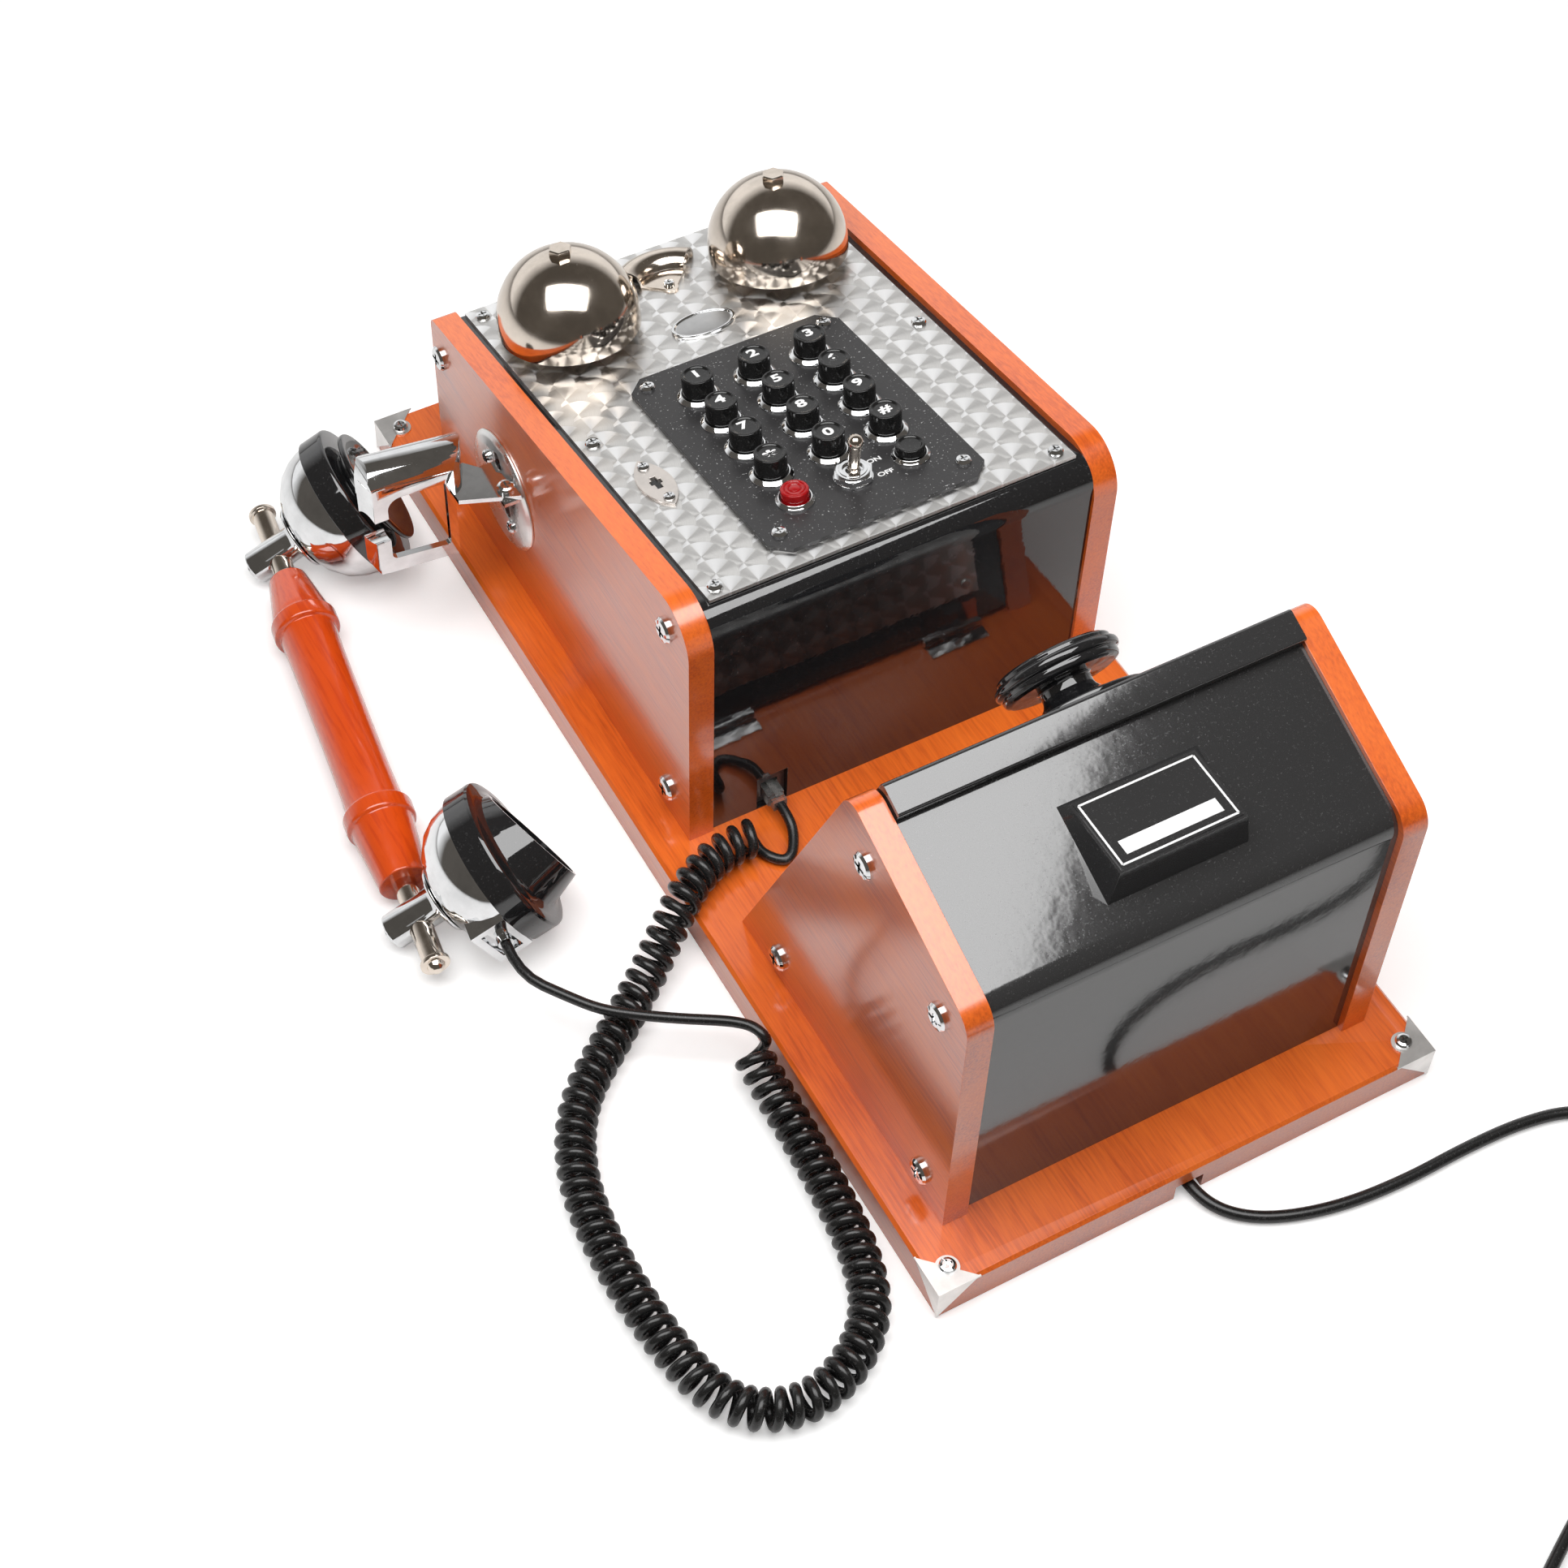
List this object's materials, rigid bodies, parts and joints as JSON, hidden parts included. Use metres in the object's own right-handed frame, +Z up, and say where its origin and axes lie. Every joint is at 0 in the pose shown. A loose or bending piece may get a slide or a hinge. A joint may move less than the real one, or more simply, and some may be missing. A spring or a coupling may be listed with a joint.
{
  "type": "wall telephone",
  "caption": "Wood wall telephone with push-button keypad, twin bells, receiver cradle, corded handset and a lower box with a hinged knobbed lid, lying on its back.",
  "frame": {"origin": "Middle of the backboard's back face, in the wall plane.", "axes": "+X is the telephone's right seen from the front, +Y runs up the wall, +Z points out of the wall. The part lies on its back, so +Z is up as stored."},
  "size_m": [0.4229, 0.8339, 0.1981],
  "materials": {
    "stained_wood": "satin lacquer",
    "gloss_black": "high gloss",
    "matte_black": "matte",
    "turned_steel": "engine-turned swirls",
    "nickel": "polished, warm",
    "chrome": "polished",
    "red_lens": "clear red",
    "board_green": "satin",
    "coil_iron": "zinc plated",
    "clear_plastic": "clear",
    "red_lacquer": "gloss lacquer",
    "cord_black": "satin"
  },
  "bodies": {
    "base": {"backboard": "stained_wood", "case_panels": "stained_wood", "box_panels": "stained_wood", "case_shell": "gloss_black", "box_shell": "gloss_black", "name_block": "gloss_black", "keypad_plate": "matte_black", "handset_jack": "matte_black", "front_plate": "turned_steel", "bells": "nickel", "striker_guard": "nickel", "corner_brackets": "chrome", "plate_screws": "chrome", "key_bezels": "chrome", "toggle_switch": "chrome", "keyhole_plate": "chrome", "trim_screws": "chrome", "panel_bolts": "chrome", "rosette": "chrome", "hinge_leaves": "chrome", "badge": "chrome", "ringer_lamp": "red_lens", "circuit_board": "board_green", "ringer_coils": "coil_iron", "hook_bracket": "coil_iron", "handset_plug": "clear_plastic", "line_plug": "clear_plastic", "handset_cord_lead": "cord_black", "handset_cord_curls": "cord_black", "handset_cord_tail": "cord_black", "line_cord": "cord_black", "line_cord_coil": "cord_black", "coil_tie": "matte_black"},
    "key_1": {"key_1": "gloss_black"},
    "key_2": {"key_2": "gloss_black"},
    "key_3": {"key_3": "gloss_black"},
    "key_4": {"key_4": "gloss_black"},
    "key_5": {"key_5": "gloss_black"},
    "key_6": {"key_6": "gloss_black"},
    "key_7": {"key_7": "gloss_black"},
    "key_8": {"key_8": "gloss_black"},
    "key_9": {"key_9": "gloss_black"},
    "key_star": {"key_star": "gloss_black"},
    "key_0": {"key_0": "gloss_black"},
    "key_hash": {"key_hash": "gloss_black"},
    "recall_button": {"recall_button": "gloss_black"},
    "toggle_lever": {"toggle_lever": "chrome"},
    "striker": {"striker": "nickel"},
    "hook": {"hook_lever": "chrome", "cradle": "chrome"},
    "lid": {"box_lid": "gloss_black", "lid_plate": "turned_steel", "lid_knob": "gloss_black", "lid_leaves": "chrome"},
    "handset": {"handset_handle": "red_lacquer", "handset_rod": "chrome", "handset_arms": "chrome", "handset_cups": "chrome", "ear_cap": "gloss_black", "mouth_cap": "gloss_black"}
  },
  "joints": [
    {"name": "key_1_press", "type": "slide", "parent": "base", "child": "key_1", "axis": [0, -0.1707, -0.9853], "range_m": [0, 0.002], "stiffness_N_per_m": 300, "springref_m": -0.002},
    {"name": "key_2_press", "type": "slide", "parent": "base", "child": "key_2", "axis": [0, -0.1707, -0.9853], "range_m": [0, 0.002], "stiffness_N_per_m": 300, "springref_m": -0.002},
    {"name": "key_3_press", "type": "slide", "parent": "base", "child": "key_3", "axis": [0, -0.1707, -0.9853], "range_m": [0, 0.002], "stiffness_N_per_m": 300, "springref_m": -0.002},
    {"name": "key_4_press", "type": "slide", "parent": "base", "child": "key_4", "axis": [0, -0.1707, -0.9853], "range_m": [0, 0.002], "stiffness_N_per_m": 300, "springref_m": -0.002},
    {"name": "key_5_press", "type": "slide", "parent": "base", "child": "key_5", "axis": [0, -0.1707, -0.9853], "range_m": [0, 0.002], "stiffness_N_per_m": 300, "springref_m": -0.002},
    {"name": "key_6_press", "type": "slide", "parent": "base", "child": "key_6", "axis": [0, -0.1707, -0.9853], "range_m": [0, 0.002], "stiffness_N_per_m": 300, "springref_m": -0.002},
    {"name": "key_7_press", "type": "slide", "parent": "base", "child": "key_7", "axis": [0, -0.1707, -0.9853], "range_m": [0, 0.002], "stiffness_N_per_m": 300, "springref_m": -0.002},
    {"name": "key_8_press", "type": "slide", "parent": "base", "child": "key_8", "axis": [0, -0.1707, -0.9853], "range_m": [0, 0.002], "stiffness_N_per_m": 300, "springref_m": -0.002},
    {"name": "key_9_press", "type": "slide", "parent": "base", "child": "key_9", "axis": [0, -0.1707, -0.9853], "range_m": [0, 0.002], "stiffness_N_per_m": 300, "springref_m": -0.002},
    {"name": "key_star_press", "type": "slide", "parent": "base", "child": "key_star", "axis": [0, -0.1707, -0.9853], "range_m": [0, 0.002], "stiffness_N_per_m": 300, "springref_m": -0.002},
    {"name": "key_0_press", "type": "slide", "parent": "base", "child": "key_0", "axis": [0, -0.1707, -0.9853], "range_m": [0, 0.002], "stiffness_N_per_m": 300, "springref_m": -0.002},
    {"name": "key_hash_press", "type": "slide", "parent": "base", "child": "key_hash", "axis": [0, -0.1707, -0.9853], "range_m": [0, 0.002], "stiffness_N_per_m": 300, "springref_m": -0.002},
    {"name": "recall_button_press", "type": "slide", "parent": "base", "child": "recall_button", "axis": [0, -0.1707, -0.9853], "range_m": [0, 0.002], "stiffness_N_per_m": 300, "springref_m": -0.002},
    {"name": "toggle_throw", "type": "hinge", "parent": "base", "child": "toggle_lever", "pos_m": [0, 0.01984, 0.15212], "axis": [-1, 0, 0], "range_deg": [0, 21]},
    {"name": "striker_swing", "type": "hinge", "parent": "base", "child": "striker", "pos_m": [0.001, 0.18041, 0.10948], "axis": [0, 0.1707, 0.9853], "range_deg": [-23, 23]},
    {"name": "hook_switch", "type": "hinge", "parent": "base", "child": "hook", "pos_m": [-0.052, 0.1482, 0.08395], "axis": [0, -0.9588, 0.284], "range_deg": [0, 6], "stiffness_Nm_per_rad": 0.8, "springref_deg": -22.92},
    {"name": "lid_hinge", "type": "hinge", "parent": "base", "child": "lid", "pos_m": [0, -0.0754, 0.0207], "axis": [-1, 0, 0], "range_deg": [0, 32]},
    {"name": "handset_lift", "type": "slide", "parent": "base", "child": "handset", "axis": [0, 0, 1], "range_m": [0, 0.3]}
  ]
}
